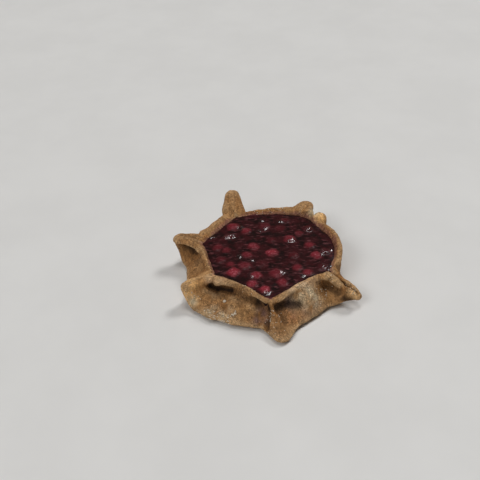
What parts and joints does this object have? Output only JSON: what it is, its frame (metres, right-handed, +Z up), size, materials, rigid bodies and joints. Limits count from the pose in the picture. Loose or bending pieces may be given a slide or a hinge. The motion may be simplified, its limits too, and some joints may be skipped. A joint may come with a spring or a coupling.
{
  "type": "karelian pasty",
  "caption": "Open rye-dough pasty: a thin case pinched by hand into ears round its rim, lying on a flat sole and filled with soft berries in dark, glossy jam.",
  "frame": {"origin": "Middle of the footprint's bounding box, on the surface that the pasty lies on.", "axes": "+Z up out of the filling, +X to the right and +Y away from the viewer, as the picture shows the pasty."},
  "size_m": [0.108, 0.1106, 0.0243],
  "materials": {
    "dough": "matte, floury, baked",
    "jam": "glossy, wet"
  },
  "bodies": {
    "root": {"crust": "dough", "filling": "jam"}
  },
  "joints": []
}
